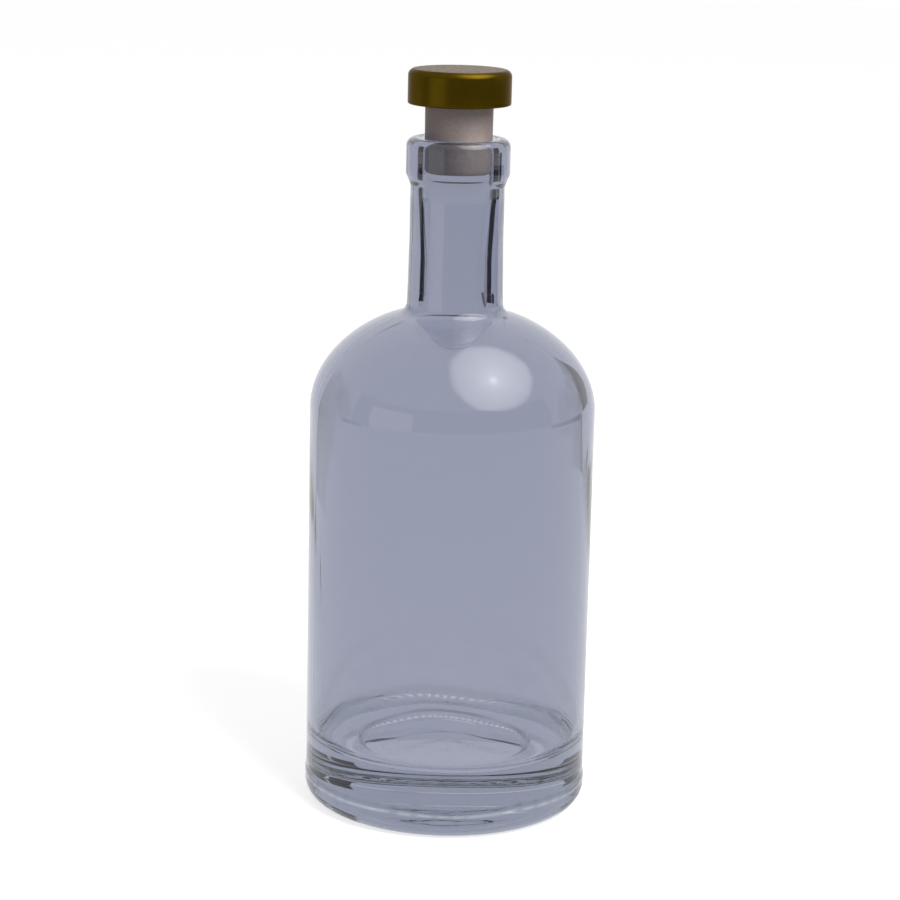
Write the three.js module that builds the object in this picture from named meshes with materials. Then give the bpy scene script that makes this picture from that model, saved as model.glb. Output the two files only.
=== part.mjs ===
import * as THREE from 'three';

// Round glass bottle with a push-in stopper, in millimetres, +Z up.
// The origin is the centre of the base, on the surface that the bottle stands on.
// The stopper is drawn partly pulled out, as it rests at stopperLift above the mouth.

// Glass body
const bodyRadius = 43;
const bodyWall = 3;
const glassHeight = 204;

// Base: the base plate's band is a little wider than the body above its seam
const baseBandProud = 0.3;
const baseSeamHeight = 8.5;
const baseSeamSlope = 1.5;
const heelRadius = 5.5;
const bearingInnerRadius = 33;
const pushUpDepth = 3;
const floorHeight = 16.8;
const floorDiscRadius = 25.5;
const floorStepWidth = 1.2;
const floorStepRise = 0.7;
const floorDishRise = 2;
const floorCornerRadius = 4.5;

// Shoulder: a squared ellipse from the straight wall, then a fillet into the neck
const shoulderStart = 123;
const shoulderReach = 38.6;
const shoulderRise = 30.4;
const shoulderSquareness = 1.9;
const shoulderWall = 3.6;
const neckRootFillet = 3.5;

// Neck and bore
const neckRadius = 14;
const neckRootRadius = 14.4;
const neckWaistHeight = 174;
const boreRadius = 10.45;
const boreStraightDepth = 18;
const throatRadius = 9.1;
const throatDepth = 36;
const throatFillet = 11;

// Lip
const lipRadius = 15.45;
const lipHeight = 10.6;
const lipUndercutHeight = 3.6;
const lipTopRound = 2.6;
const mouthRound = 1.7;

// Stopper plug and its chamfered foot
const stopperLift = 9.8;
const plugClearance = 0.35;
const plugLength = 19.8;
const plugTaper = 0.15;
const plugChamfer = 1.2;

// Cap: a drawn metal shell over a moulded core, whose stem holds the plug
const capRadius = 15.3;
const capHeight = 10.3;
const capTopRound = 2;
const capRimRound = 0.5;
const shellWall = 0.6;
const coreRecess = 0.4;
const stemRadius = 4;
const stemLength = 12;
const stemChamfer = 0.8;
const fitClearance = 0.3;

// Fineness of the round forms
const turnSegments = 56;
const roundSteps = 5;
const shoulderSteps = 11;

// Levels and radii that follow from the driving dimensions
const baseBandRadius = bodyRadius + baseBandProud;
const lipBottom = glassHeight - lipHeight;
const boreStraightEnd = glassHeight - boreStraightDepth;
const throatHeight = glassHeight - throatDepth;
const cavityRadius = bodyRadius - bodyWall;
const capBottom = glassHeight + stopperLift;
const capTop = capBottom + capHeight;
const coreBottom = capBottom + coreRecess;
const coreTop = capTop - shellWall - fitClearance;
const shellInnerRadius = capRadius - shellWall;
const plugTop = coreBottom - fitClearance;
const plugBottom = capBottom - plugLength;
const plugRadius = boreRadius - plugClearance;
const stemBottom = coreBottom - stemLength;

const point = (radius, height) => new THREE.Vector2(radius, height);

// Points on a circle or ellipse arc, angles in degrees from the outward direction
function arc(centreRadius, centreHeight, halfWidth, halfHeight, fromAngle, toAngle) {
  const points = [];
  for (let step = 0; step <= roundSteps; step += 1) {
    const angle = THREE.MathUtils.degToRad(THREE.MathUtils.lerp(fromAngle, toAngle, step / roundSteps));
    points.push(point(centreRadius + halfWidth * Math.cos(angle), centreHeight + halfHeight * Math.sin(angle)));
  }
  return points;
}

// A place on the shoulder's squared ellipse, with the direction that points out of it
function shoulderPlace(curve, turn) {
  const power = 2 / shoulderSquareness;
  const across = Math.cos(turn);
  const up = Math.sin(turn);
  const outward = point(
    curve.rise * up ** (power - 1) * across,
    curve.reach * across ** (power - 1) * up,
  ).normalize();
  const radius = curve.wallRadius - curve.reach + curve.reach * across ** power;
  return { place: point(radius, shoulderStart + curve.rise * up ** power), outward };
}

// The shoulder from the straight wall to the neck: it stops where a fillet touches both it and the neck
function shoulder(curve) {
  let low = 0.01;
  let high = Math.PI / 2 - 0.001;
  for (let pass = 0; pass < 40; pass += 1) {
    const middle = (low + high) / 2;
    const { place, outward } = shoulderPlace(curve, middle);
    const centreRadius = place.x + curve.fillet * outward.x;
    if (centreRadius > curve.neckRadius + curve.fillet) low = middle;
    else high = middle;
  }
  const points = [point(curve.wallRadius, shoulderStart)];
  for (let step = 1; step <= shoulderSteps; step += 1) {
    points.push(shoulderPlace(curve, (low * step) / shoulderSteps).place);
  }
  const { place, outward } = shoulderPlace(curve, low);
  const centre = place.clone().addScaledVector(outward, curve.fillet);
  const startAngle = 180 + THREE.MathUtils.radToDeg(outward.angle());
  return points.concat(arc(centre.x, centre.y, curve.fillet, curve.fillet, startAngle, 180).slice(1));
}

// A closed turned solid from an outline that starts and ends on the axis
function turned(name, outline, material) {
  const geometry = new THREE.LatheGeometry(outline, turnSegments);
  geometry.rotateX(Math.PI / 2);
  const mesh = new THREE.Mesh(geometry, material);
  mesh.name = name;
  return mesh;
}

// The bottom of the hollow: a tight corner from the wall, a shallow dish and a small step down to a flat disc
function hollowFloor() {
  const dishInner = point(floorDiscRadius + floorStepWidth, floorHeight + floorStepRise);
  const dishOuter = point(cavityRadius - floorCornerRadius, dishInner.y + floorDishRise);
  const slope = Math.atan2(floorDishRise, dishOuter.x - dishInner.x);
  const centreHeight = dishOuter.y + floorCornerRadius / Math.cos(slope);
  const lowestAngle = THREE.MathUtils.radToDeg(slope) - 90;
  return [
    ...arc(dishOuter.x, centreHeight, floorCornerRadius, floorCornerRadius, 0, lowestAngle),
    dishInner,
    point(floorDiscRadius, floorHeight),
    point(0, floorHeight),
  ];
}

// The bottle is one piece of glass: underside, outside, lip, bore and the hollow inside
function makeBottle() {
  const domeRadius = (bearingInnerRadius ** 2 + pushUpDepth ** 2) / (2 * pushUpDepth);
  const domeEdgeAngle = THREE.MathUtils.radToDeg(Math.acos(bearingInnerRadius / domeRadius));
  const underside = arc(0, pushUpDepth - domeRadius, domeRadius, domeRadius, 90, domeEdgeAngle);
  const heel = arc(baseBandRadius - heelRadius, heelRadius, heelRadius, heelRadius, -90, 0);
  const seam = [point(baseBandRadius, baseSeamHeight), point(bodyRadius, baseSeamHeight + baseSeamSlope)];
  const outerShoulder = shoulder({
    wallRadius: bodyRadius,
    reach: shoulderReach,
    rise: shoulderRise,
    neckRadius: neckRootRadius,
    fillet: neckRootFillet,
  });
  const neck = [point(neckRadius, neckWaistHeight), point(neckRadius, lipBottom - lipUndercutHeight)];
  const lipOuter = arc(lipRadius - lipTopRound, glassHeight - lipTopRound, lipTopRound, lipTopRound, 0, 90);
  const mouth = arc(boreRadius + mouthRound, glassHeight - mouthRound, mouthRound, mouthRound, 90, 180);
  const innerShoulder = shoulder({
    wallRadius: cavityRadius,
    reach: shoulderReach - bodyWall,
    rise: shoulderRise - shoulderWall,
    neckRadius: throatRadius,
    fillet: throatFillet,
  }).reverse();
  const outline = [
    ...underside,
    ...heel,
    ...seam,
    ...outerShoulder,
    ...neck,
    point(lipRadius, lipBottom),
    ...lipOuter,
    ...mouth,
    point(boreRadius, boreStraightEnd),
    point(throatRadius, throatHeight),
    ...innerShoulder,
    ...hollowFloor(),
  ];
  const glass = new THREE.MeshStandardMaterial({
    color: 0x9ba0b4,
    roughness: 0.05,
    metalness: 0,
    transparent: true,
    opacity: 0.4,
  });
  return turned('bottle', outline, glass);
}

// The plug is a light synthetic stopper, with a blind hole for the core's stem
function makePlug() {
  const holeRadius = stemRadius + fitClearance;
  const holeBottom = stemBottom - fitClearance;
  const outline = [
    point(0, plugBottom),
    point(plugRadius - plugTaper - plugChamfer, plugBottom),
    point(plugRadius - plugTaper, plugBottom + plugChamfer),
    point(plugRadius, plugTop),
    point(holeRadius, plugTop),
    point(holeRadius, holeBottom),
    point(0, holeBottom),
  ];
  const synthetic = new THREE.MeshStandardMaterial({ color: 0x8e827e, roughness: 0.6, metalness: 0 });
  return turned('stopper_plug', outline, synthetic);
}

// The core is one moulding: a disc that fills the shell and a stem that runs down into the plug
function makeCore() {
  const coreRadius = shellInnerRadius - fitClearance;
  const topRound = capTopRound - shellWall;
  const outline = [
    point(0, stemBottom),
    point(stemRadius - stemChamfer, stemBottom),
    point(stemRadius, stemBottom + stemChamfer),
    point(stemRadius, coreBottom),
    point(coreRadius, coreBottom),
    ...arc(coreRadius - topRound, coreTop - topRound, topRound, topRound, 0, 90),
    point(0, coreTop),
  ];
  const plastic = new THREE.MeshStandardMaterial({ color: 0x7d7370, roughness: 0.5, metalness: 0 });
  return turned('cap_core', outline, plastic);
}

// The shell is one cup of thin metal, open below, with a rounded top edge and a rounded rim
function makeShell() {
  const innerRound = capTopRound - shellWall;
  const innerTop = capTop - shellWall;
  const outline = [
    point(0, innerTop),
    ...arc(shellInnerRadius - innerRound, innerTop - innerRound, innerRound, innerRound, 90, 0),
    point(shellInnerRadius, capBottom),
    ...arc(capRadius - capRimRound, capBottom + capRimRound, capRimRound, capRimRound, -90, 0),
    ...arc(capRadius - capTopRound, capTop - capTopRound, capTopRound, capTopRound, 0, 90),
    point(0, capTop),
  ];
  const gold = new THREE.MeshStandardMaterial({ color: 0x8a6f1c, roughness: 0.3, metalness: 1 });
  return turned('cap_shell', outline, gold);
}

const stopper = new THREE.Group();
stopper.add(makePlug(), makeCore(), makeShell());

const part = new THREE.Group();
part.add(makeBottle(), stopper);

export default part;
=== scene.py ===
"""The looks of a round glass bottle with a gold-capped push-in stopper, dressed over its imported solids.

Lengths that are written here are in millimetres and become metres when a mesh is made.
Outlines are lists of (radius, height) places that run with the material on their left, and are turned about the Z axis.
"""

import math

import bpy
import numpy as np
from mathutils import Matrix, Vector


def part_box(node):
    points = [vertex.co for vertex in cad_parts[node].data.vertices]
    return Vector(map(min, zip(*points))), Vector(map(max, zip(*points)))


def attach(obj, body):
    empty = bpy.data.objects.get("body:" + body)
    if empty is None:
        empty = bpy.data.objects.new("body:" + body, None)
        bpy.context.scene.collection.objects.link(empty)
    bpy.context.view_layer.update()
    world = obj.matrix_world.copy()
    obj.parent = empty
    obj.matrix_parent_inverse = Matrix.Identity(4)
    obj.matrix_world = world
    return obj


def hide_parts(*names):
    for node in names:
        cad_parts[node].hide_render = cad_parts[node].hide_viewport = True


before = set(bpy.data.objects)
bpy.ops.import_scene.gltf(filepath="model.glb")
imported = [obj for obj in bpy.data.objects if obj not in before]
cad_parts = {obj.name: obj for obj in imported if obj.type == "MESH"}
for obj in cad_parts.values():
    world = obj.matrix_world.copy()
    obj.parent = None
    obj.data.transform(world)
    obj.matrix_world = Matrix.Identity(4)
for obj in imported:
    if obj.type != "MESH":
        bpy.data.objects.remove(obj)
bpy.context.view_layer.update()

MM = 0.001


def reach_of(node):
    """Outer radius, lowest level and highest level of a turned node, in millimetres."""
    low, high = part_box(node)
    return high.x / MM, low.z / MM, high.z / MM


BAND_RADIUS, _, GLASS_TOP = reach_of("bottle")
CAP_RADIUS, CAP_BOTTOM, CAP_TOP = reach_of("cap_shell")
PLUG_RADIUS, PLUG_BOTTOM, PLUG_TOP = reach_of("stopper_plug")

# Base of the glass
BODY_RADIUS = BAND_RADIUS - 0.3
BODY_WALL = 3.0
SEAM_HEIGHT = 8.5
SEAM_SLOPE = 1.5
HEEL_RADIUS = 5.5
BEARING_INNER_RADIUS = 33.0
PUSH_UP_DEPTH = 3.0
FLOOR_HEIGHT = 16.8
FLOOR_DISC_RADIUS = 25.5
FLOOR_STEP_WIDTH = 1.2
FLOOR_STEP_RISE = 0.7
FLOOR_DISH_RISE = 2.0
FLOOR_CORNER_RADIUS = 4.5
FLOOR_EDGE_ROUND = 0.6
KNURLS = 100
KNURL_DEPTH = 0.1
SEAM_WANDER = 0.3

# Unevenness of the glass
WALL_WAVE = 0.16
FLOOR_WAVE = 0.05
SIDE_SEAM = 0.05
SIDE_SEAM_WIDTH = 0.35

# Shoulder of the glass
SHOULDER_START = 123.0
SHOULDER_REACH = 38.6
SHOULDER_RISE = 30.4
SHOULDER_SQUARENESS = 1.9
SHOULDER_WALL = 3.6
NECK_ROOT_FILLET = 3.5

# Neck, bore and lip
NECK_RADIUS = 14.0
NECK_ROOT_RADIUS = 14.4
NECK_WAIST_HEIGHT = 174.0
BORE_RADIUS = 10.45
BORE_STRAIGHT_DEPTH = 18.0
THROAT_RADIUS = 9.1
THROAT_DEPTH = 36.0
THROAT_FILLET = 11.0
LIP_RADIUS = 15.45
LIP_HEIGHT = 10.6
LIP_UNDERCUT_HEIGHT = 3.6
LIP_TOP_ROUND = 2.6
MOUTH_ROUND = 1.7

# Camera
VIEW_ELEVATION = 13.2
VIEW_DISTANCE = 805.0
VIEW_ROLL = 1.32
VIEW_LENS = 106.2
AIM = (-0.45, 0.0, 109.2)

# Light
KEY_POWER = 9.0
LIP_POWER = 16.0

# Fineness of the turned surfaces
GLASS_TURNS = 400
METAL_TURNS = 256
PLUG_TURNS = 192


def straight(start, end, steps):
    """Evenly spaced places from start to end, both included."""
    return np.linspace(start, end, steps + 1)


def arc(centre, radii, from_degrees, to_degrees, steps):
    """Places on an ellipse arc: centre + (rx cos a, rz sin a), with a in equal steps."""
    a = np.radians(np.linspace(from_degrees, to_degrees, steps + 1))
    return np.stack([centre[0] + radii[0] * np.cos(a), centre[1] + radii[1] * np.sin(a)], axis=1)


def join_outline(*stretches):
    """One outline from several stretches, without the places that repeat where they meet."""
    places = np.concatenate(stretches)
    gaps = np.hypot(*np.diff(places, axis=0).T)
    return places[np.concatenate([[True], gaps > 1e-4])]


def shoulder_places(wall_radius, reach, rise, turn):
    """Squared ellipse r = R - a + a cos(t)^(2/n), z = z0 + b sin(t)^(2/n), and its outward direction."""
    power = 2 / SHOULDER_SQUARENESS
    across, up = np.cos(turn), np.sin(turn)
    places = np.stack(
        [wall_radius - reach + reach * across**power, SHOULDER_START + rise * up**power], axis=-1
    )
    outward = np.stack([rise * up ** (power - 1) * across, reach * across ** (power - 1) * up], axis=-1)
    return places, outward / np.linalg.norm(outward, axis=-1, keepdims=True)


def shoulder(wall_radius, reach, rise, neck_radius, fillet, steps, fillet_steps):
    """The shoulder up to the neck: it ends where a fillet of the given radius touches both it and the neck."""
    turns = np.linspace(0.01, math.pi / 2 - 0.001, 20000)
    places, outward = shoulder_places(wall_radius, reach, rise, turns)
    centre_radii = places[:, 0] + fillet * outward[:, 0]
    last = turns[np.argmin(np.abs(centre_radii - neck_radius - fillet))]
    places, outward = shoulder_places(wall_radius, reach, rise, np.linspace(1e-6, last, steps + 1))
    centre = places[-1] + fillet * outward[-1]
    start = 180 + math.degrees(math.atan2(outward[-1, 1], outward[-1, 0]))
    return join_outline(places, arc(centre, (fillet, fillet), start, 180, fillet_steps))


def turned_mesh(name, outline, turns, shape=None):
    """Turns an outline that starts and ends on the axis into a closed mesh: x = r sin a, y = -r cos a, z = h.

    shape may move the grid: it gets the radii, heights, angles and outward directions as whole arrays.
    The outline runs up the outside first, so the material lies on its left.
    """
    angle = np.linspace(0, 2 * math.pi, turns, endpoint=False)[None, :]
    inner = outline[1:-1]
    along = np.gradient(outline, axis=0)[1:-1]
    out = np.stack([along[:, 1], -along[:, 0]], axis=1)
    out /= np.linalg.norm(out, axis=1, keepdims=True)
    radius = inner[:, :1] + 0 * angle
    height = inner[:, 1:] + 0 * angle
    if shape:
        radius, height = shape(radius, height, angle, out[:, :1], out[:, 1:])
    grid = np.stack([radius * np.sin(angle), -radius * np.cos(angle), height], axis=2).reshape(-1, 3)
    ends = np.array([[0, 0, outline[0, 1]], [0, 0, outline[-1, 1]]])
    vertices = np.concatenate([grid, ends]) * MM
    rows, columns = np.meshgrid(np.arange(len(inner) - 1), np.arange(turns), indexing="ij")
    here = rows * turns + columns
    beside = rows * turns + (columns + 1) % turns
    quads = np.stack([here, beside, beside + turns, here + turns], axis=2).reshape(-1, 4)
    first, last = len(grid), len(grid) + 1
    ring = np.arange(turns)
    after = (ring + 1) % turns
    top = (len(inner) - 1) * turns
    fan_low = np.stack([np.full(turns, first), after, ring], axis=1)
    fan_high = np.stack([np.full(turns, last), top + ring, top + after], axis=1)
    mesh = bpy.data.meshes.new(name)
    mesh.from_pydata(vertices.tolist(), [], quads.tolist() + fan_low.tolist() + fan_high.tolist())
    mesh.polygons.foreach_set("use_smooth", np.ones(len(mesh.polygons), dtype=bool))
    mesh.update()
    piece = bpy.data.objects.new(name, mesh)
    bpy.context.scene.collection.objects.link(piece)
    return piece


def waves(seed, angle, height, shortest, longest, count):
    """A smooth random field between about -1 and 1: a sum of cosines round the axis and up it, with seeded phases."""
    draw = np.random.default_rng(seed)
    field = 0
    for _ in range(count):
        around = draw.integers(1, 9)
        length = draw.uniform(shortest, longest)
        phase = draw.uniform(0, 2 * math.pi)
        field = field + np.cos(around * angle + 2 * math.pi * height / length + phase)
    return field / math.sqrt(count)


def window(values, low, high, soft):
    """1 between low and high, falling smoothly to 0 over the distance soft on either side."""
    rise = np.clip((values - low) / soft + 1, 0, 1)
    fall = np.clip((high - values) / soft + 1, 0, 1)
    return (rise * rise * (3 - 2 * rise)) * (fall * fall * (3 - 2 * fall))


def outside_outline():
    """Underside, heel, base seam, wall, shoulder, neck and lip, from the axis to the top of the lip."""
    bearing_outer = BAND_RADIUS - HEEL_RADIUS
    lip_bottom = GLASS_TOP - LIP_HEIGHT
    outer_shoulder = shoulder(
        BODY_RADIUS, SHOULDER_REACH, SHOULDER_RISE, NECK_ROOT_RADIUS, NECK_ROOT_FILLET, 26, 7
    )
    dome = (BEARING_INNER_RADIUS**2 + PUSH_UP_DEPTH**2) / (2 * PUSH_UP_DEPTH)
    dome_edge = math.degrees(math.acos(BEARING_INNER_RADIUS / dome))
    return join_outline(
        arc((0, PUSH_UP_DEPTH - dome), (dome, dome), 90, dome_edge, 20),
        straight((BEARING_INNER_RADIUS, 0), (bearing_outer, 0), 7),
        arc((bearing_outer, HEEL_RADIUS), (HEEL_RADIUS, HEEL_RADIUS), -90, 0, 11),
        straight((BAND_RADIUS, HEEL_RADIUS), (BAND_RADIUS, SEAM_HEIGHT), 4),
        straight((BAND_RADIUS, SEAM_HEIGHT), (BODY_RADIUS, SEAM_HEIGHT + SEAM_SLOPE), 4),
        straight((BODY_RADIUS, SEAM_HEIGHT + SEAM_SLOPE), (BODY_RADIUS, SHOULDER_START), 22),
        outer_shoulder,
        straight(outer_shoulder[-1], (NECK_RADIUS, NECK_WAIST_HEIGHT), 5),
        straight((NECK_RADIUS, NECK_WAIST_HEIGHT), (NECK_RADIUS, lip_bottom - LIP_UNDERCUT_HEIGHT), 4),
        straight((NECK_RADIUS, lip_bottom - LIP_UNDERCUT_HEIGHT), (LIP_RADIUS, lip_bottom), 4),
        straight((LIP_RADIUS, lip_bottom), (LIP_RADIUS, GLASS_TOP - LIP_TOP_ROUND), 5),
        arc((LIP_RADIUS - LIP_TOP_ROUND, GLASS_TOP - LIP_TOP_ROUND), (LIP_TOP_ROUND, LIP_TOP_ROUND), 0, 90, 8),
    )


def inside_outline():
    """Mouth, bore, throat and the hollow, from the top of the lip to the middle of the inner floor."""
    cavity_radius = BODY_RADIUS - BODY_WALL
    reach, rise = SHOULDER_REACH - BODY_WALL, SHOULDER_RISE - SHOULDER_WALL
    inner_shoulder = shoulder(cavity_radius, reach, rise, THROAT_RADIUS, THROAT_FILLET, 24, 10)[::-1]
    floor = floor_corner(cavity_radius)
    return join_outline(
        arc((BORE_RADIUS + MOUTH_ROUND, GLASS_TOP - MOUTH_ROUND), (MOUTH_ROUND, MOUTH_ROUND), 90, 180, 7),
        straight((BORE_RADIUS, GLASS_TOP - MOUTH_ROUND), (BORE_RADIUS, GLASS_TOP - BORE_STRAIGHT_DEPTH), 6),
        straight((BORE_RADIUS, GLASS_TOP - BORE_STRAIGHT_DEPTH), (THROAT_RADIUS, GLASS_TOP - THROAT_DEPTH), 8),
        inner_shoulder,
        straight((cavity_radius, SHOULDER_START), floor[0], 26),
        floor,
    )


def floor_corner(cavity_radius):
    """From the wall round a tight corner, down a shallow dish and a small step to the flat disc, all edges eased."""
    rim = (FLOOR_DISC_RADIUS + FLOOR_STEP_WIDTH, FLOOR_HEIGHT + FLOOR_STEP_RISE)
    turn_radius = FLOOR_CORNER_RADIUS
    slope = math.atan2(FLOOR_DISH_RISE, cavity_radius - turn_radius - rim[0])
    foot = (cavity_radius - turn_radius, FLOOR_HEIGHT + FLOOR_STEP_RISE + FLOOR_DISH_RISE)
    centre = (foot[0], foot[1] + turn_radius / math.cos(slope))
    corner = arc(centre, (turn_radius, turn_radius), 0, -90 + math.degrees(slope), 40)
    whole = join_outline(corner, np.array([rim, (FLOOR_DISC_RADIUS, FLOOR_HEIGHT), (0, FLOOR_HEIGHT)]))
    length = np.concatenate([[0], np.cumsum(np.hypot(*np.diff(whole, axis=0).T))])
    step = length[-3]
    places = np.concatenate([np.linspace(0, step - 3, 22), np.linspace(step - 2.6, step + 2.6, 14), [step + 8, length[-1]]])
    near = np.linspace(-FLOOR_EDGE_ROUND, FLOOR_EDGE_ROUND, 9)
    samples = [np.stack([np.interp(places + shift, length, axis) for axis in whole.T], axis=1) for shift in near]
    eased = np.mean(samples, axis=0)
    eased[0], eased[-1] = whole[0], whole[-1]
    return eased


def mould_outside(radius, height, angle):
    """What the mould leaves outside, as a push outwards and a lift: side seams, a wandering base seam, a knurled ring."""
    seam_angle = math.radians(20)
    off_seam = np.abs(np.cos(angle - seam_angle)) * radius
    push = SIDE_SEAM * np.exp(-((off_seam / SIDE_SEAM_WIDTH) ** 2)) * window(height, 12, 190, 3) * (radius > 13)
    near_seam = window(height, SEAM_HEIGHT, SEAM_HEIGHT + SEAM_SLOPE, 3) * (radius > 38)
    lift = near_seam * SEAM_WANDER * waves(8, angle, 0 * height, 50, 60, 7)
    raised = (np.arange(angle.shape[1]) % (angle.shape[1] // KNURLS) < 2)[None, :]
    ring = (height < 0.01) & (radius > BEARING_INNER_RADIUS + 0.2) & (radius < BAND_RADIUS - HEEL_RADIUS - 0.2)
    return push, lift + ring * KNURL_DEPTH * (1 - raised)


def blow_inside(radius, height, angle):
    """How the air shaped the hollow, as a push of its surface: long waves in the wall and a rolling inner floor."""
    wall = WALL_WAVE * waves(3, angle, height, 45, 160, 14)
    on_wall = window(height, FLOOR_HEIGHT + 6, SHOULDER_START + 20, 12)
    floor = FLOOR_WAVE * waves(5, angle, radius * 2, 40, 120, 9) * np.clip(radius / 12, 0, 1)
    on_floor_part = window(height, 0, FLOOR_HEIGHT + 8, 8)
    return wall * on_wall + floor * on_floor_part


def make_glass():
    """One closed surface: the outside outline up to the lip and the inside outline down to the inner floor."""
    outside = outside_outline()
    outline = join_outline(outside, inside_outline())

    def moulded(radius, height, angle, out_r, out_z):
        rows = np.arange(len(radius))[:, None]
        hollow = rows >= len(outside) - 1
        push, lift = mould_outside(radius, height, angle)
        push = np.where(hollow, blow_inside(radius, height, angle), push)
        return radius + push * out_r, height + push * out_z + np.where(hollow, 0, lift)

    glass = turned_mesh("glass_bottle", outline, GLASS_TURNS, moulded)
    paint_glass(glass, outline, len(outside))
    return glass


def line_at(values, middle, half_width):
    """A bell over the values: 1 at the middle, falling off with the square of the distance."""
    return np.exp(-(((values - middle) / half_width) ** 2))


def paint_glass(glass, outline, outside_count):
    """Two values for each place of the glass: how much of the outer skin's tint it has, with painted light where that
    tint is lessened, and how much painted shade it has along the base seam, the inner disc's outline and the inner
    floor's corner.
    """
    angle = np.linspace(0, 2 * math.pi, GLASS_TURNS, endpoint=False)[None, :]
    radius, height = outline[1:-1, :1], outline[1:-1, 1:]
    outer = np.arange(len(radius))[:, None] < outside_count - 1
    uneven = 0.5 + 0.5 * waves(11, angle, 0 * height, 50, 60, 9)
    dashes = np.clip(waves(21, 7 * angle, 0 * height, 50, 60, 9), 0, 1)
    # Painted glints: two of every four columns on the inner part of the bearing ring have no tint, so they show as
    # bright specks.
    knurl_painted_glints = (np.arange(GLASS_TURNS) % (GLASS_TURNS // KNURLS) < 2)[None, :]
    on_ring = outer & (height < 0.01) & (radius > BEARING_INNER_RADIUS) & (radius < BEARING_INNER_RADIUS + 2)
    # Painted shade and painted highlights at the base seam: a dark dashed line just over it, and lighter dashes just
    # under it where the tint is thinned.
    seam_painted_shade = line_at(height, SEAM_HEIGHT + 0.8, 0.5) * (radius > 38) * outer
    seam_painted_highlight = line_at(height, SEAM_HEIGHT - 0.7, 0.3) * (radius > 38) * outer
    # Painted shade: an uneven dark line along the outline of the inner disc.
    disc_edge_painted_shade = line_at(radius, FLOOR_DISC_RADIUS + FLOOR_STEP_WIDTH / 2, 0.7) * (height < SEAM_HEIGHT * 3) * ~outer
    # Painted shade: a soft dark band in the corner round the inner floor.
    corner = line_at(height, FLOOR_HEIGHT + 4, 1.2) * (radius > 36) * ~outer
    # Painted light: the underside below the disc has less tint, so it looks lighter.
    under_disc_painted_light = outer * (height < PUSH_UP_DEPTH + 0.1) * window(radius, -1, FLOOR_DISC_RADIUS - 1, 2)
    # The tint, lessened in places as painted light: lighter seam dashes, knurl glints and the underside below the disc.
    tint_and_painted_light = outer * (1 - 0.8 * seam_painted_highlight * (1 - dashes)) * (1 - on_ring * knurl_painted_glints) * (1 - 0.22 * under_disc_painted_light)
    # Painted shade, summed: the line over the base seam, the inner disc's outline and the inner floor's corner.
    shade = 0.7 * seam_painted_shade * (0.3 + 0.7 * dashes) + 0.9 * disc_edge_painted_shade * (0.4 + 0.6 * uneven) + 0.2 * corner
    for name, values, low, high in (("outer_skin_and_painted_light", tint_and_painted_light, 1, 0), ("edge_shade", shade, 0, 0)):
        whole = np.append((values + 0 * angle).reshape(-1), (low, high))
        glass.data.attributes.new(name, "FLOAT", "POINT").data.foreach_set("value", whole)


def make_cap():
    """The drawn shell: an open cup with a rounded top edge, a rolled rim and a wall of one thickness."""
    wall, top_round, rim_round = 0.6, 2.0, 0.5
    inner, inner_top, inner_round = CAP_RADIUS - wall, CAP_TOP - wall, top_round - wall
    outline = join_outline(
        straight((0, inner_top), (inner - inner_round, inner_top), 6),
        arc((inner - inner_round, inner_top - inner_round), (inner_round, inner_round), 90, 0, 8),
        straight((inner, inner_top - inner_round), (inner, CAP_BOTTOM), 6),
        straight((inner, CAP_BOTTOM), (CAP_RADIUS - rim_round, CAP_BOTTOM), 1),
        arc((CAP_RADIUS - rim_round, CAP_BOTTOM + rim_round), (rim_round, rim_round), -90, 0, 8),
        straight((CAP_RADIUS, CAP_BOTTOM + rim_round), (CAP_RADIUS, CAP_TOP - top_round), 10),
        arc((CAP_RADIUS - top_round, CAP_TOP - top_round), (top_round, top_round), 0, 90, 14),
        straight((CAP_RADIUS - top_round, CAP_TOP), (0, CAP_TOP), 12),
    )
    return turned_mesh("gold_cap", outline, METAL_TURNS)


def make_plug():
    """The synthetic plug: a slightly tapered shank with a rounded foot and a blind hole for the stem."""
    taper, foot, hole, hole_bottom = 0.15, 1.2, 4.3, CAP_BOTTOM + 0.4 - 12.3
    foot_radius = PLUG_RADIUS - taper
    outline = join_outline(
        straight((0, PLUG_BOTTOM), (foot_radius - foot, PLUG_BOTTOM), 6),
        arc((foot_radius - foot, PLUG_BOTTOM + foot), (foot, foot), -90, 0, 8),
        straight((foot_radius, PLUG_BOTTOM + foot), (PLUG_RADIUS, PLUG_TOP - 0.2), 24),
        straight((PLUG_RADIUS, PLUG_TOP - 0.2), (PLUG_RADIUS - 0.2, PLUG_TOP), 1),
        straight((PLUG_RADIUS - 0.2, PLUG_TOP), (hole, PLUG_TOP), 4),
        straight((hole, PLUG_TOP), (hole, hole_bottom), 6),
        straight((hole, hole_bottom), (0, hole_bottom), 3),
    )
    return turned_mesh("plug_shank", outline, PLUG_TURNS)


def new_material(name):
    """A node material with its Principled shader and output, and nothing else."""
    material = bpy.data.materials.new(name)
    material.use_nodes = True
    tree = material.node_tree
    tree.nodes.clear()
    output = tree.nodes.new("ShaderNodeOutputMaterial")
    shader = tree.nodes.new("ShaderNodeBsdfPrincipled")
    tree.links.new(shader.outputs["BSDF"], output.inputs["Surface"])
    return material, tree, shader, output


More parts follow.
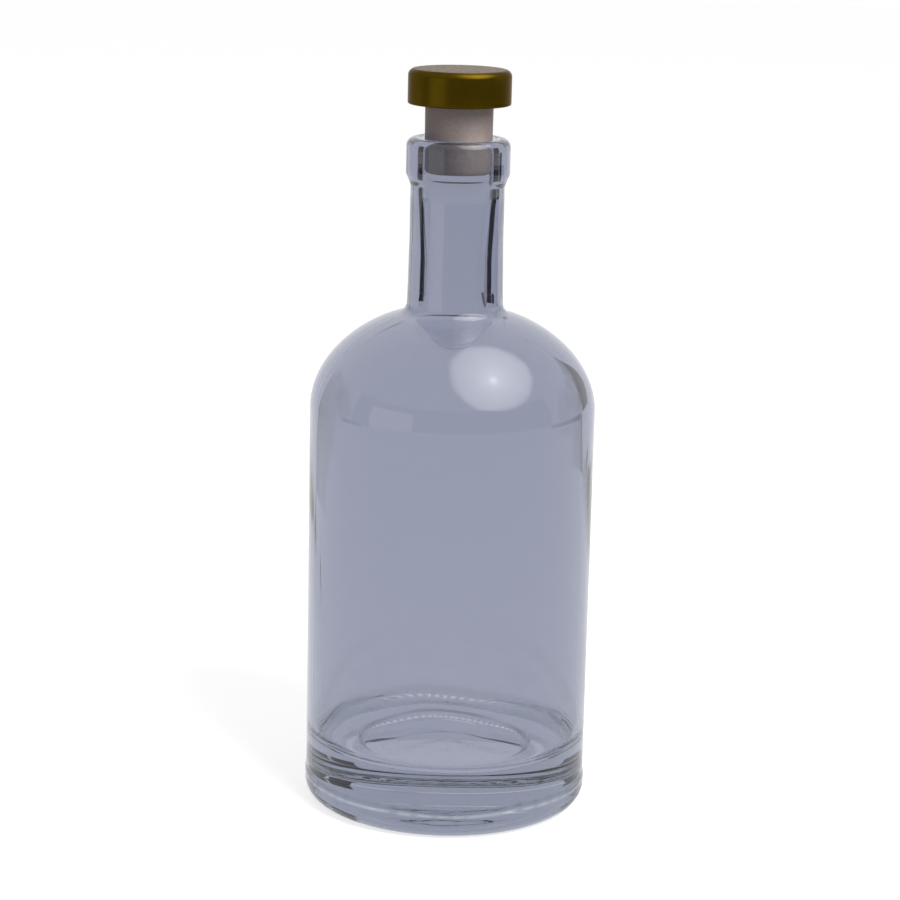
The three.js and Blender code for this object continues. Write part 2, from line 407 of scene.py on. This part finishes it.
def object_noise(tree, scale, detail, roughness=0.5, stretch=(1, 1, 1)):
    """A noise pattern on the piece's own coordinates, in features per metre."""
    coordinates = tree.nodes.new("ShaderNodeTexCoord")
    mapping = tree.nodes.new("ShaderNodeMapping")
    mapping.inputs["Scale"].default_value = stretch
    noise = tree.nodes.new("ShaderNodeTexNoise")
    noise.inputs["Scale"].default_value = scale
    noise.inputs["Detail"].default_value = detail
    noise.inputs["Roughness"].default_value = roughness
    tree.links.new(coordinates.outputs["Object"], mapping.inputs["Vector"])
    tree.links.new(mapping.outputs["Vector"], noise.inputs["Vector"])
    return noise


def between(tree, factor, low, high):
    """A colour that runs from low to high with a pattern's value."""
    ramp = tree.nodes.new("ShaderNodeValToRGB")
    ramp.color_ramp.elements[0].position = 0.3
    ramp.color_ramp.elements[1].position = 0.7
    ramp.color_ramp.elements[0].color = (*low, 1)
    ramp.color_ramp.elements[1].color = (*high, 1)
    tree.links.new(factor, ramp.inputs["Fac"])
    return ramp.outputs["Color"]


def spread(tree, factor, low, high):
    """A number that runs from low to high with a pattern's value."""
    ranged = tree.nodes.new("ShaderNodeMapRange")
    ranged.inputs["From Min"].default_value = 0.3
    ranged.inputs["From Max"].default_value = 0.7
    ranged.inputs["To Min"].default_value = low
    ranged.inputs["To Max"].default_value = high
    tree.links.new(factor, ranged.inputs["Value"])
    return ranged.outputs["Result"]


def relief(tree, shader, factor, strength, distance):
    """A fine bump from a pattern."""
    bump = tree.nodes.new("ShaderNodeBump")
    bump.inputs["Strength"].default_value = strength
    bump.inputs["Distance"].default_value = distance
    tree.links.new(factor, bump.inputs["Height"])
    tree.links.new(bump.outputs["Normal"], shader.inputs["Normal"])


def glass_finish():
    """Smoky flint glass: its tint lies in the outer skin and deepens upward, with a little green in the thickness.
    Where the skin's tint is lessened it is painted light, and edge_shade mixes in a painted shade.
    """
    material, tree, shader, output = new_material("smoky_glass")
    shader.inputs["Transmission Weight"].default_value = 1.0
    shader.inputs["Roughness"].default_value = 0.0
    shader.inputs["IOR"].default_value = 1.52
    coordinates = tree.nodes.new("ShaderNodeTexCoord")
    split = tree.nodes.new("ShaderNodeSeparateXYZ")
    tree.links.new(coordinates.outputs["Object"], split.inputs["Vector"])
    level = tree.nodes.new("ShaderNodeMapRange")
    level.inputs["From Max"].default_value = GLASS_TOP * MM
    tree.links.new(split.outputs["Z"], level.inputs["Value"])
    tone = tree.nodes.new("ShaderNodeValToRGB")
    tone.color_ramp.elements[0].position = 0.15
    tone.color_ramp.elements[0].color = (0.300, 0.320, 0.420, 1)
    tone.color_ramp.elements[1].position = 0.9
    tone.color_ramp.elements[1].color = (0.255, 0.272, 0.370, 1)
    middle = tone.color_ramp.elements.new(0.6)
    middle.color = (0.280, 0.300, 0.400, 1)
    tree.links.new(level.outputs["Result"], tone.inputs["Fac"])
    # The outer skin's tint, which is lessened in places as painted light.
    skin = tree.nodes.new("ShaderNodeAttribute")
    skin.attribute_name = "outer_skin_and_painted_light"
    tint_and_painted_light = tree.nodes.new("ShaderNodeMix")
    tint_and_painted_light.data_type = "RGBA"
    tint_and_painted_light.inputs["A"].default_value = (1, 1, 1, 1)
    tree.links.new(skin.outputs["Fac"], tint_and_painted_light.inputs["Factor"])
    tree.links.new(tone.outputs["Color"], tint_and_painted_light.inputs["B"])
    # Painted shade: edge_shade mixes the colour towards near black along the base seam, the inner disc's outline and
    # the inner floor's corner.
    shade = tree.nodes.new("ShaderNodeAttribute")
    shade.attribute_name = "edge_shade"
    painted_shade_mix = tree.nodes.new("ShaderNodeMix")
    painted_shade_mix.data_type = "RGBA"
    painted_shade_mix.inputs["B"].default_value = (0.02, 0.023, 0.035, 1)
    tree.links.new(shade.outputs["Fac"], painted_shade_mix.inputs["Factor"])
    tree.links.new(tint_and_painted_light.outputs["Result"], painted_shade_mix.inputs["A"])
    tree.links.new(painted_shade_mix.outputs["Result"], shader.inputs["Base Color"])
    volume = tree.nodes.new("ShaderNodeVolumeAbsorption")
    volume.inputs["Color"].default_value = (0.45, 0.55, 0.58, 1)
    volume.inputs["Density"].default_value = 5.0
    tree.links.new(volume.outputs["Volume"], output.inputs["Volume"])
    return material


def gold_finish():
    """Dark anodised gold with a soft sheen, a fine turned grain and a faint unevenness."""
    material, tree, shader, _ = new_material("anodised_gold")
    shader.inputs["Metallic"].default_value = 1.0
    shader.inputs["Specular Tint"].default_value = (0.66, 0.60, 0.56, 1)
    cloud = object_noise(tree, 120, 3)
    colour = between(tree, cloud.outputs["Fac"], (0.055, 0.035, 0.0018), (0.068, 0.043, 0.0026))
    tree.links.new(colour, shader.inputs["Base Color"])
    grain = object_noise(tree, 700, 2, stretch=(1, 1, 8))
    tree.links.new(spread(tree, grain.outputs["Fac"], 0.24, 0.34), shader.inputs["Roughness"])
    relief(tree, shader, grain.outputs["Fac"], 0.05, 0.0001)
    return material


def plug_finish():
    """Foamed synthetic cork: matt taupe with a fine speckle and pores."""
    material, tree, shader, _ = new_material("synthetic_cork")
    shader.inputs["Specular IOR Level"].default_value = 0.35
    speckle = object_noise(tree, 900, 4, 0.6)
    colour = between(tree, speckle.outputs["Fac"], (0.200, 0.163, 0.153), (0.245, 0.202, 0.190))
    tree.links.new(colour, shader.inputs["Base Color"])
    tree.links.new(spread(tree, speckle.outputs["Fac"], 0.55, 0.7), shader.inputs["Roughness"])
    relief(tree, shader, speckle.outputs["Fac"], 0.25, 0.0002)
    return material


def core_finish():
    """Moulded plastic of the disc and stem, satin with a faint mottle."""
    material, tree, shader, _ = new_material("core_plastic")
    mottle = object_noise(tree, 300, 2)
    colour = between(tree, mottle.outputs["Fac"], (0.20, 0.17, 0.16), (0.23, 0.195, 0.185))
    tree.links.new(colour, shader.inputs["Base Color"])
    tree.links.new(spread(tree, mottle.outputs["Fac"], 0.4, 0.5), shader.inputs["Roughness"])
    return material


def dress(piece, material, body, slot, *nodes):
    """Gives a new piece its finish and body, and hides the solids that it stands for."""
    piece.data.materials.append(material)
    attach(piece, body)
    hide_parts(*nodes)


def make_bottle():
    dress(make_glass(), glass_finish(), "bottle", "glass", "bottle")


def make_stopper():
    dress(make_plug(), plug_finish(), "stopper", "synthetic_plug", "stopper_plug")
    dress(make_cap(), gold_finish(), "stopper", "gold_metal", "cap_shell")
    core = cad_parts["cap_core"]
    core.data.materials.clear()
    core.data.materials.append(core_finish())


def seen_directly(tree):
    """1 for rays from the eye, from a mirror-like reflection or through glass, and 0 for the rest."""
    path = tree.nodes.new("ShaderNodeLightPath")
    total = tree.nodes.new("ShaderNodeMath")
    total.operation = "ADD"
    total.use_clamp = True
    tree.links.new(path.outputs["Is Camera Ray"], total.inputs[0])
    more = tree.nodes.new("ShaderNodeMath")
    more.operation = "ADD"
    more.use_clamp = True
    tree.links.new(path.outputs["Is Glossy Ray"], more.inputs[0])
    tree.links.new(path.outputs["Is Transmission Ray"], more.inputs[1])
    tree.links.new(more.outputs["Value"], total.inputs[1])
    return total.outputs["Value"], more.outputs["Value"], path.outputs["Is Camera Ray"]


def make_world():
    """White where it is seen, and a plain soft light for the rest."""
    world = bpy.data.worlds.new("studio")
    world.use_nodes = True
    bpy.context.scene.world = world
    tree = world.node_tree
    tree.nodes.clear()
    output = tree.nodes.new("ShaderNodeOutputWorld")
    soft = tree.nodes.new("ShaderNodeBackground")
    soft.inputs["Color"].default_value = (1, 1, 1, 1)
    soft.inputs["Strength"].default_value = 0.38
    white = tree.nodes.new("ShaderNodeBackground")
    white.inputs["Color"].default_value = (1, 1, 1, 1)
    white.inputs["Strength"].default_value = 1.0
    mix = tree.nodes.new("ShaderNodeMixShader")
    seen, _, _ = seen_directly(tree)
    tree.links.new(seen, mix.inputs["Fac"])
    tree.links.new(soft.outputs["Background"], mix.inputs[1])
    tree.links.new(white.outputs["Background"], mix.inputs[2])
    tree.links.new(mix.outputs["Shader"], output.inputs["Surface"])


def sheet_of(name, places, faces, material):
    """A stage sheet from its places, in millimetres."""
    mesh = bpy.data.meshes.new(name)
    mesh.from_pydata((np.array(places) * MM).tolist(), [], np.array(faces).tolist())
    sheet = bpy.data.objects.new(name, mesh)
    sheet.data.materials.append(material)
    bpy.context.scene.collection.objects.link(sheet)
    return sheet


def make_floor():
    """A pale floor that keeps the shadow, and shows plain white in reflections and through glass."""
    material, tree, shader, output = new_material("pale_floor")
    tree.nodes.remove(shader)
    _, mirrored, from_eye = seen_directly(tree)
    matt = tree.nodes.new("ShaderNodeBsdfDiffuse")
    matt.inputs["Color"].default_value = (0.8, 0.8, 0.8, 1)
    lift = tree.nodes.new("ShaderNodeEmission")
    share = tree.nodes.new("ShaderNodeMath")
    share.operation = "MULTIPLY"
    share.inputs[1].default_value = 0.68
    tree.links.new(from_eye, share.inputs[0])
    tree.links.new(share.outputs["Value"], lift.inputs["Strength"])
    lit = tree.nodes.new("ShaderNodeAddShader")
    tree.links.new(matt.outputs["BSDF"], lit.inputs[0])
    tree.links.new(lift.outputs["Emission"], lit.inputs[1])
    white = tree.nodes.new("ShaderNodeEmission")
    mix = tree.nodes.new("ShaderNodeMixShader")
    tree.links.new(mirrored, mix.inputs["Fac"])
    tree.links.new(lit.outputs["Shader"], mix.inputs[1])
    tree.links.new(white.outputs["Emission"], mix.inputs[2])
    tree.links.new(mix.outputs["Shader"], output.inputs["Surface"])
    half = 4000
    level = -0.05
    corners = [(-half, -half, level), (half, -half, level), (half, half, level), (-half, half, level)]
    sheet_of("floor", corners, [(0, 1, 2, 3)], material)


def only_for(sheet, kind):
    """Shows a sheet to one kind of ray alone: transmission or glossy."""
    sheet.visible_camera = False
    sheet.visible_diffuse = False
    sheet.visible_shadow = False
    sheet.visible_volume_scatter = False
    sheet.visible_glossy = kind == "glossy"
    sheet.visible_transmission = kind == "transmission"


def plain_glow(name, shade, strength=1.0):
    """A sheet's material that shines evenly at one shade."""
    material, tree, shader, output = new_material(name)
    tree.nodes.remove(shader)
    glow = tree.nodes.new("ShaderNodeEmission")
    glow.inputs["Color"].default_value = (*shade, 1)
    glow.inputs["Strength"].default_value = strength
    tree.links.new(glow.outputs["Emission"], output.inputs["Surface"])
    return material


def soft_glow(name, profile, cloud=0.0):
    """Light that is added to what lies behind. It is brightest in the middle of the card and falls off outwards.

    The profile lists (distance, strength): distance runs from 0 in the middle to 1 at the middle of each edge.
    cloud is how far a noise pattern shifts that distance.
    """
    material, tree, shader, output = new_material(name)
    tree.nodes.remove(shader)
    coordinates = tree.nodes.new("ShaderNodeTexCoord")
    centre = tree.nodes.new("ShaderNodeMapping")
    centre.inputs["Location"].default_value = (-1, -1, 0)
    centre.inputs["Scale"].default_value = (2, 2, 0)
    distance = tree.nodes.new("ShaderNodeVectorMath")
    distance.operation = "LENGTH"
    tree.links.new(coordinates.outputs["UV"], centre.inputs["Vector"])
    tree.links.new(centre.outputs["Vector"], distance.inputs[0])
    noise = tree.nodes.new("ShaderNodeTexNoise")
    noise.inputs["Scale"].default_value = 5.0
    noise.inputs["Detail"].default_value = 3.0
    tree.links.new(coordinates.outputs["UV"], noise.inputs["Vector"])
    shifted = tree.nodes.new("ShaderNodeMath")
    shifted.operation = "MULTIPLY_ADD"
    shifted.inputs[1].default_value = cloud
    tree.links.new(noise.outputs["Fac"], shifted.inputs[0])
    tree.links.new(distance.outputs["Value"], shifted.inputs[2])
    shine = tree.nodes.new("ShaderNodeFloatCurve")
    curve = shine.mapping.curves[0]
    shine.mapping.clip_max_y = 20
    curve.points[0].location = profile[0]
    curve.points[1].location = profile[-1]
    for place, value in profile[1:-1]:
        curve.points.new(place, value)
    shine.mapping.extend = "HORIZONTAL"
    shine.mapping.update()
    tree.links.new(shifted.outputs["Value"], shine.inputs["Value"])
    glow = tree.nodes.new("ShaderNodeEmission")
    tree.links.new(shine.outputs["Value"], glow.inputs["Strength"])
    clear = tree.nodes.new("ShaderNodeBsdfTransparent")
    both = tree.nodes.new("ShaderNodeAddShader")
    tree.links.new(glow.outputs["Emission"], both.inputs[0])
    tree.links.new(clear.outputs["BSDF"], both.inputs[1])
    tree.links.new(both.outputs["Shader"], output.inputs["Surface"])
    return material


def ground_card(name, bearings, distances, material):
    """A card that lies just over the floor, between two bearings and two distances."""
    steps = 2 + int(abs(bearings[1] - bearings[0]) / 6)
    turn = np.radians(np.linspace(*bearings, steps))
    rows = [np.stack([r * np.sin(turn), r * np.cos(turn), 0.5 + 0 * turn], axis=1) for r in distances]
    first = np.arange(steps - 1)
    faces = np.stack([first, first + 1, first + 1 + steps, first + steps], axis=1)
    return sheet_of(name, np.concatenate(rows), faces, material)


def standing_card(name, bearings, distance, heights, material):
    """An upright card that runs round the bottle from one bearing to another."""
    steps = 2 + int(abs(bearings[1] - bearings[0]) / 12)
    turn = np.radians(np.linspace(*bearings, steps))
    ring = np.stack([distance * np.sin(turn), distance * np.cos(turn)], axis=1)
    low = np.column_stack([ring, np.full(steps, heights[0])])
    high = np.column_stack([ring, np.full(steps, heights[1])])
    first = np.arange(steps - 1)
    faces = np.stack([first, first + 1, first + 1 + steps, first + steps], axis=1)
    return sheet_of(name, np.concatenate([low, high]), faces, material)


def hung_card(name, place, aim, size, material, turn=0.0):
    """A card of a width and height that hangs at a place, faces an aim and is turned about that line, with its UV map."""
    to_aim = (Vector(aim) - Vector(place)).normalized()
    level = to_aim.cross(Vector((0, 0, 1))).normalized()
    across = Matrix.Rotation(math.radians(turn), 3, to_aim) @ level
    up = across.cross(to_aim)
    across, up = across * size[0] / 2, up * size[1] / 2
    corners = [Vector(place) + across * x + up * y for x, y in ((-1, -1), (1, -1), (1, 1), (-1, 1))]
    card = sheet_of(name, corners, [(0, 1, 2, 3)], material)
    layer = card.data.uv_layers.new(name="card")
    layer.data.foreach_set("uv", [0, 0, 1, 0, 1, 1, 0, 1])
    return card


def make_dark_cards():
    """Dark cards that only refraction sees. They draw the dark lines along the edges of the bore and the hollow.

    Bearings are in degrees from straight behind the bottle, to the right. A ray at the edge of the bore is turned
    aside by 45 to 67 degrees, and one at the edge of the hollow by 28 to 38 degrees.
    """
    black = plain_glow("card_black", (0.012, 0.013, 0.018))
    taupe = plain_glow("card_taupe", (0.20, 0.16, 0.15))
    for word, bearings in (("left", (-67, -44)), ("right", (42, 66))):
        only_for(ground_card(f"bore_ground_card_{word}", bearings, (465, 1200), black), "transmission")
        only_for(standing_card(f"bore_plug_card_{word}", bearings, 1200, (0.5, 55), taupe), "transmission")
        only_for(standing_card(f"bore_card_{word}", bearings, 1200, (55, 520), black), "transmission")
    only_for(ground_card("shoulder_ground_card", (27, 40), (1200, 1500), black), "transmission")
    only_for(standing_card("shoulder_card", (27, 40), 1500, (0.5, 640), black), "transmission")


def make_reflected_cards():
    """Cards that only reflections see: a grey front for the metal, a lighter strip in it, one large soft light.

    Dark ground beside the bottle keeps its reflection off the dark lines in the neck.
    """
    dark = plain_glow("card_dark", (0.12, 0.12, 0.13))
    for word, bearings in (("left", (-105, -84)), ("right", (58, 96))):
        only_for(ground_card(f"flank_card_{word}", bearings, (820, 1600), dark), "glossy")
    front = standing_card("front_card", (95, 265), 1150, (-2, 700), plain_glow("card_grey", (0.6, 0.6, 0.6)))
    only_for(front, "glossy")
    strip = standing_card("strip_card", (211, 248), 1100, (-2, 500), plain_glow("card_pale", (1.35, 1.35, 1.35)))
    only_for(strip, "glossy")
    shine = soft_glow(
        "card_light",
        [(0.0, 11.0), (0.1, 8.6), (0.24, 5.6), (0.5, 4.1), (0.78, 2.9), (0.92, 1.5), (1.0, 0.0)],
        cloud=0.16,
    )
    light = hung_card("light_card", (450, -320, 1000), (0, 0, 140), (1250, 1850), shine, turn=40)
    only_for(light, "glossy")
    back_shine = soft_glow("card_back_light", [(0.0, 3.6), (0.3, 2.6), (0.7, 1.6), (1.0, 0.0)], cloud=0.2)
    back = hung_card("back_light_card", (60, 700, 850), (0, 0, 150), (190, 900), back_shine)
    only_for(back, "glossy")


def limit_light(holder, name, lit, blocking):
    """Lets a lamp light only some pieces, and lets only some pieces stand in its way."""
    receivers = bpy.data.collections.new(name + "_lights")
    blockers = bpy.data.collections.new(name + "_blocked_by")
    for piece in lit:
        receivers.objects.link(piece)
    for piece in blocking:
        blockers.objects.link(piece)
    holder.light_linking.receiver_collection = receivers
    holder.light_linking.blocker_collection = blockers


def make_lip_lamp():
    """A narrow spot for the part of the plug that is inside the lip, which the glass would leave in the dark."""
    spot = bpy.data.lights.new("lip_lamp", "SPOT")
    spot.energy = LIP_POWER
    spot.color = (1.0, 0.97, 0.84)
    spot.spot_size = math.radians(1.5)
    spot.spot_blend = 0.5
    spot.shadow_soft_size = 0.004
    holder = bpy.data.objects.new("lip_lamp", spot)
    place = Vector((330, -480, 250))
    holder.location = place * MM
    holder.rotation_euler = (Vector((0, 0, 198)) - place).to_track_quat("-Z", "Y").to_euler()
    holder.visible_glossy = False
    bpy.context.scene.collection.objects.link(holder)
    plug = bpy.data.objects["plug_shank"]
    limit_light(holder, "lip_lamp", [plug], [plug, bpy.data.objects["gold_cap"]])


def make_lamps():
    """One large key lamp, high in front to the right."""
    lamp = bpy.data.lights.new("key_lamp", "AREA")
    lamp.shape = "DISK"
    lamp.size = 600 * MM
    lamp.energy = KEY_POWER
    holder = bpy.data.objects.new("key_lamp", lamp)
    place = Vector((520, -700, 900))
    holder.location = place * MM
    holder.rotation_euler = (Vector((0, 0, 120)) - place).to_track_quat("-Z", "Y").to_euler()
    holder.visible_glossy = False
    holder.visible_transmission = False
    bpy.context.scene.collection.objects.link(holder)


def make_camera():
    """Looks along +Y from above, rolled so that the bottle leans a little to the right as photographed."""
    data = bpy.data.cameras.new("camera")
    data.sensor_width = 36
    data.lens = VIEW_LENS
    data.clip_start = 0.01
    data.clip_end = 50
    camera = bpy.data.objects.new("camera", data)
    elevation = math.radians(VIEW_ELEVATION)
    back = Vector((0, -math.cos(elevation), math.sin(elevation)))
    camera.location = (Vector(AIM) + back * VIEW_DISTANCE) * MM
    facing = (-back).to_track_quat("-Z", "Y").to_matrix()
    camera.rotation_euler = (facing @ Matrix.Rotation(math.radians(VIEW_ROLL), 3, "Z")).to_euler()
    bpy.context.scene.collection.objects.link(camera)
    bpy.context.scene.camera = camera


def set_render():
    scene = bpy.context.scene
    scene.view_settings.view_transform = "Standard"
    scene.cycles.max_bounces = 32
    scene.cycles.transmission_bounces = 32
    scene.cycles.glossy_bounces = 12


set_render()
make_camera()
make_world()
make_floor()
make_lamps()
make_dark_cards()
make_reflected_cards()
make_bottle()
make_stopper()
make_lip_lamp()
